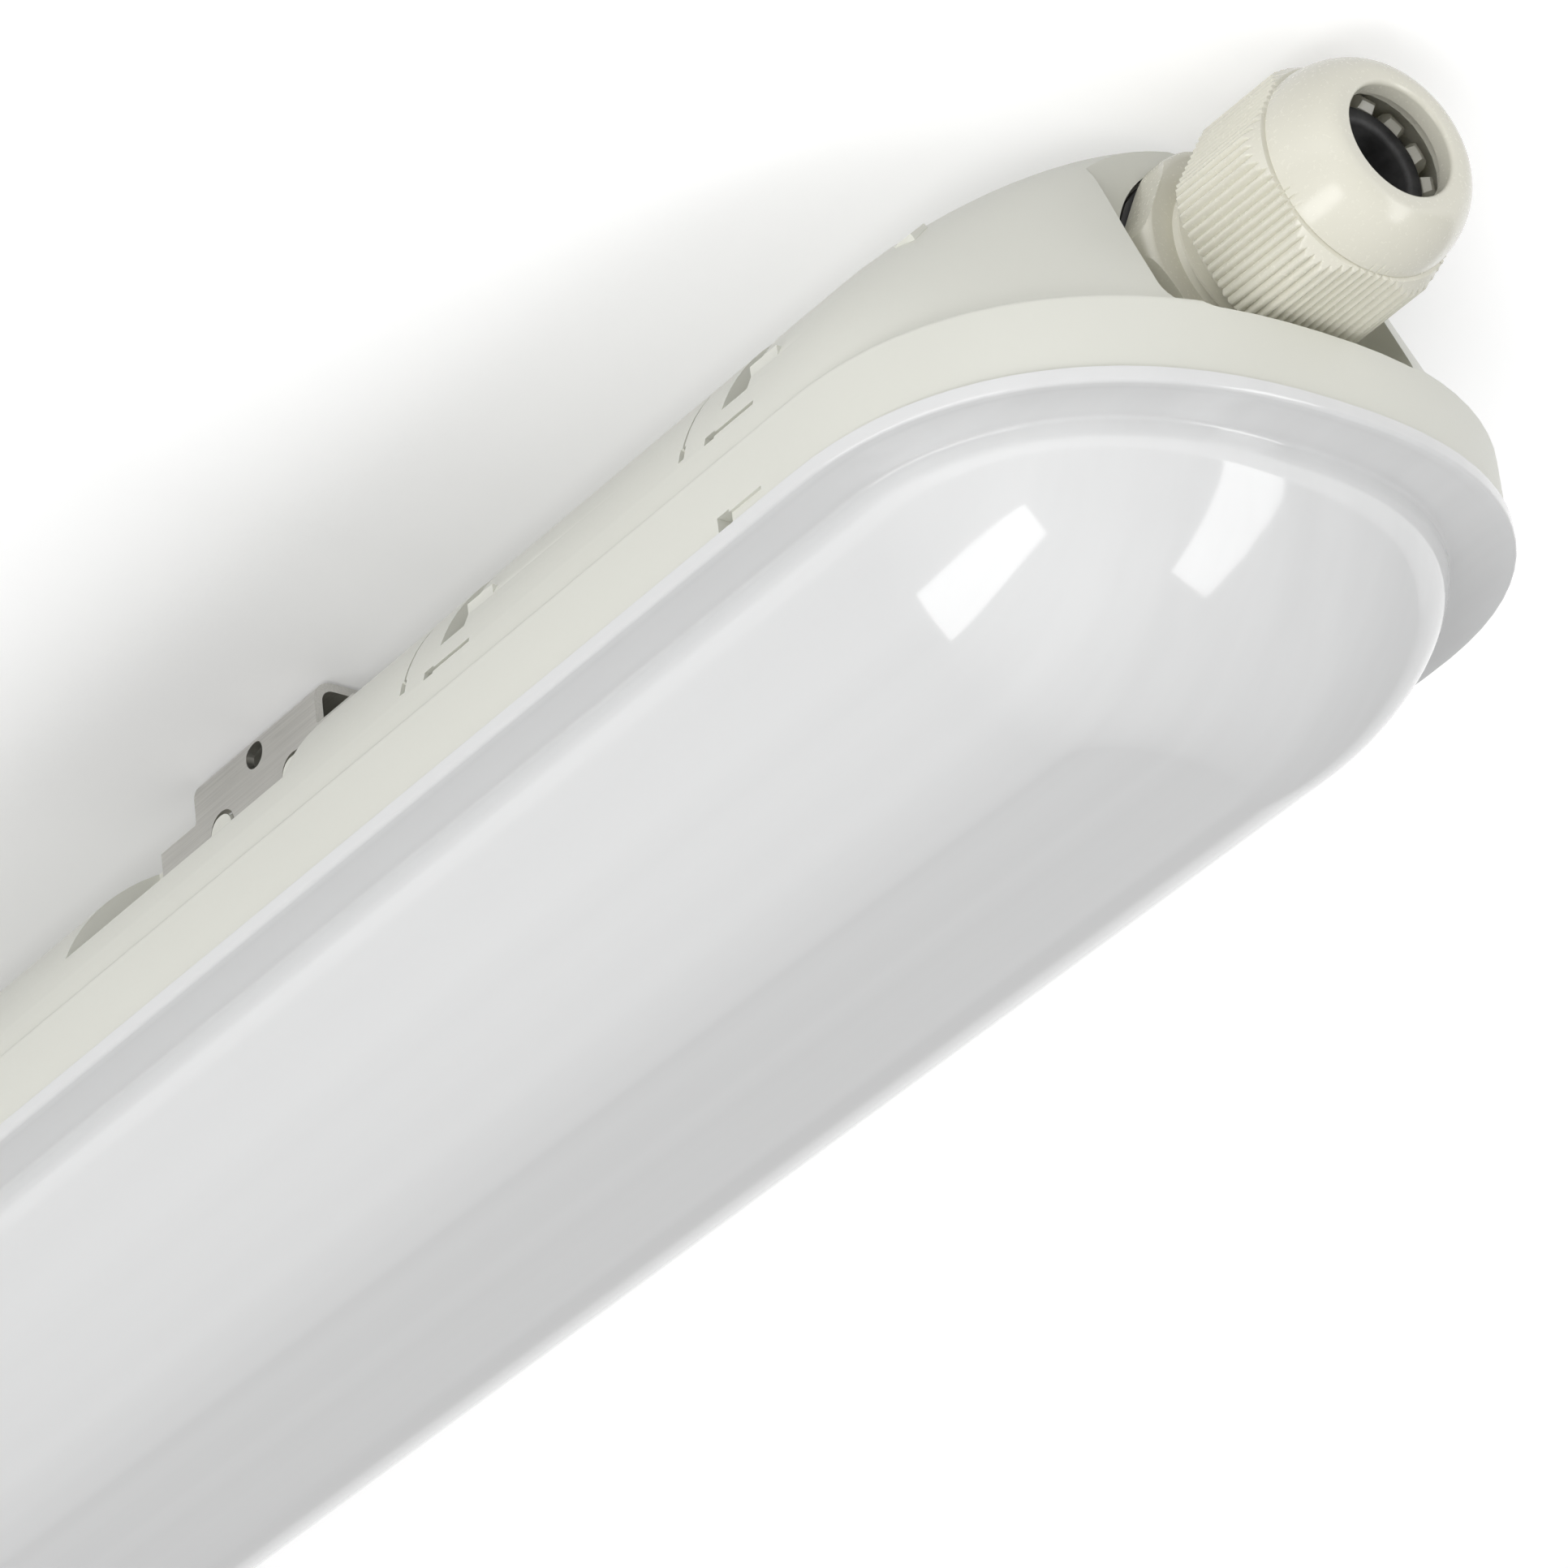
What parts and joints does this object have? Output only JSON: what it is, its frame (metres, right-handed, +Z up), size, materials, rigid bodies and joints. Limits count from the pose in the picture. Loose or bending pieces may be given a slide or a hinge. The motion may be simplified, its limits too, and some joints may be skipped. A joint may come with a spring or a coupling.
{
  "type": "vapor tight light fixture",
  "caption": "Linear ceiling luminaire: moulded housing in two sheet brackets, clip-on opal diffuser, gear tray inside, domed cable gland in one rounded end and a blanking plug in the other",
  "frame": {"origin": "in the ceiling plane, above the middle of the housing", "axes": "+X along the fixture toward the cable gland, +Z up into the ceiling, +Y across"},
  "size_m": [0.6156, 0.079, 0.0599],
  "materials": {
    "moulded_cream": "satin moulded",
    "gland_cream": "semi-gloss moulded",
    "opal_diffuser": "opal, gloss outside, fine lengthwise prisms inside",
    "black_rubber": "matt",
    "stainless_sheet": "brushed",
    "white_coated_steel": "powder coated white",
    "white_board": "white solder mask",
    "white_plastic": "satin",
    "brown_wire": "satin",
    "blue_wire": "satin",
    "green_wire": "satin",
    "red_wire": "satin",
    "black_wire": "satin"
  },
  "bodies": {
    "housing": {"base_housing": "moulded_cream", "rim_gasket": "black_rubber", "gland_body": "gland_cream", "gland_washer": "black_rubber", "gland_seal": "black_rubber", "blanking_plug": "gland_cream", "plug_washer": "black_rubber", "bracket_gland_end": "stainless_sheet", "bracket_plug_end": "stainless_sheet"},
    "diffuser": {"diffuser": "opal_diffuser"},
    "gear_tray": {"gear_tray": "white_coated_steel", "led_board_a": "white_board", "led_board_b": "white_board", "led_connector_feed": "white_plastic", "led_connector_link_a": "white_plastic", "led_connector_link_b": "white_plastic", "driver_case": "white_plastic", "driver_lid": "white_plastic", "terminal_foot": "white_plastic", "terminal_block": "white_plastic", "earth_screw": "stainless_sheet", "tray_clip_1": "stainless_sheet", "tray_clip_2": "stainless_sheet", "tray_clip_3": "stainless_sheet", "tray_clip_4": "stainless_sheet", "wire_live": "brown_wire", "wire_neutral": "blue_wire", "wire_earth": "green_wire", "wire_led_plus": "red_wire", "wire_led_minus": "black_wire", "wire_led_plus_link": "red_wire", "wire_led_minus_link": "black_wire"},
    "gland_slip_ring": {"gland_slip_ring": "gland_cream"},
    "gland_nut": {"gland_dome_nut": "gland_cream"}
  },
  "joints": [
    {"name": "diffuser_release", "type": "slide", "parent": "housing", "child": "diffuser", "axis": [0, 0, -1], "range_m": [0, 0.12]},
    {"name": "gear_tray_drop", "type": "slide", "parent": "housing", "child": "gear_tray", "axis": [0, 0, -1], "range_m": [0, 0.06]},
    {"name": "gland_nut_travel", "type": "slide", "parent": "housing", "child": "gland_slip_ring", "axis": [1, 0, 0], "range_m": [-0.0015, 0.0045]},
    {"name": "gland_nut_turn", "type": "hinge", "parent": "gland_slip_ring", "child": "gland_nut", "pos_m": [0.2856, 0, -0.0151], "axis": [1, 0, 0], "range_deg": [-360, 1080]}
  ],
  "couplings": [
    {"joint": "gear_tray_drop", "follows": "diffuser_release", "ratio": 0.5},
    {"joint": "gland_nut_travel", "follows": "gland_nut_turn", "m_per_rad": 0.00023873}
  ]
}
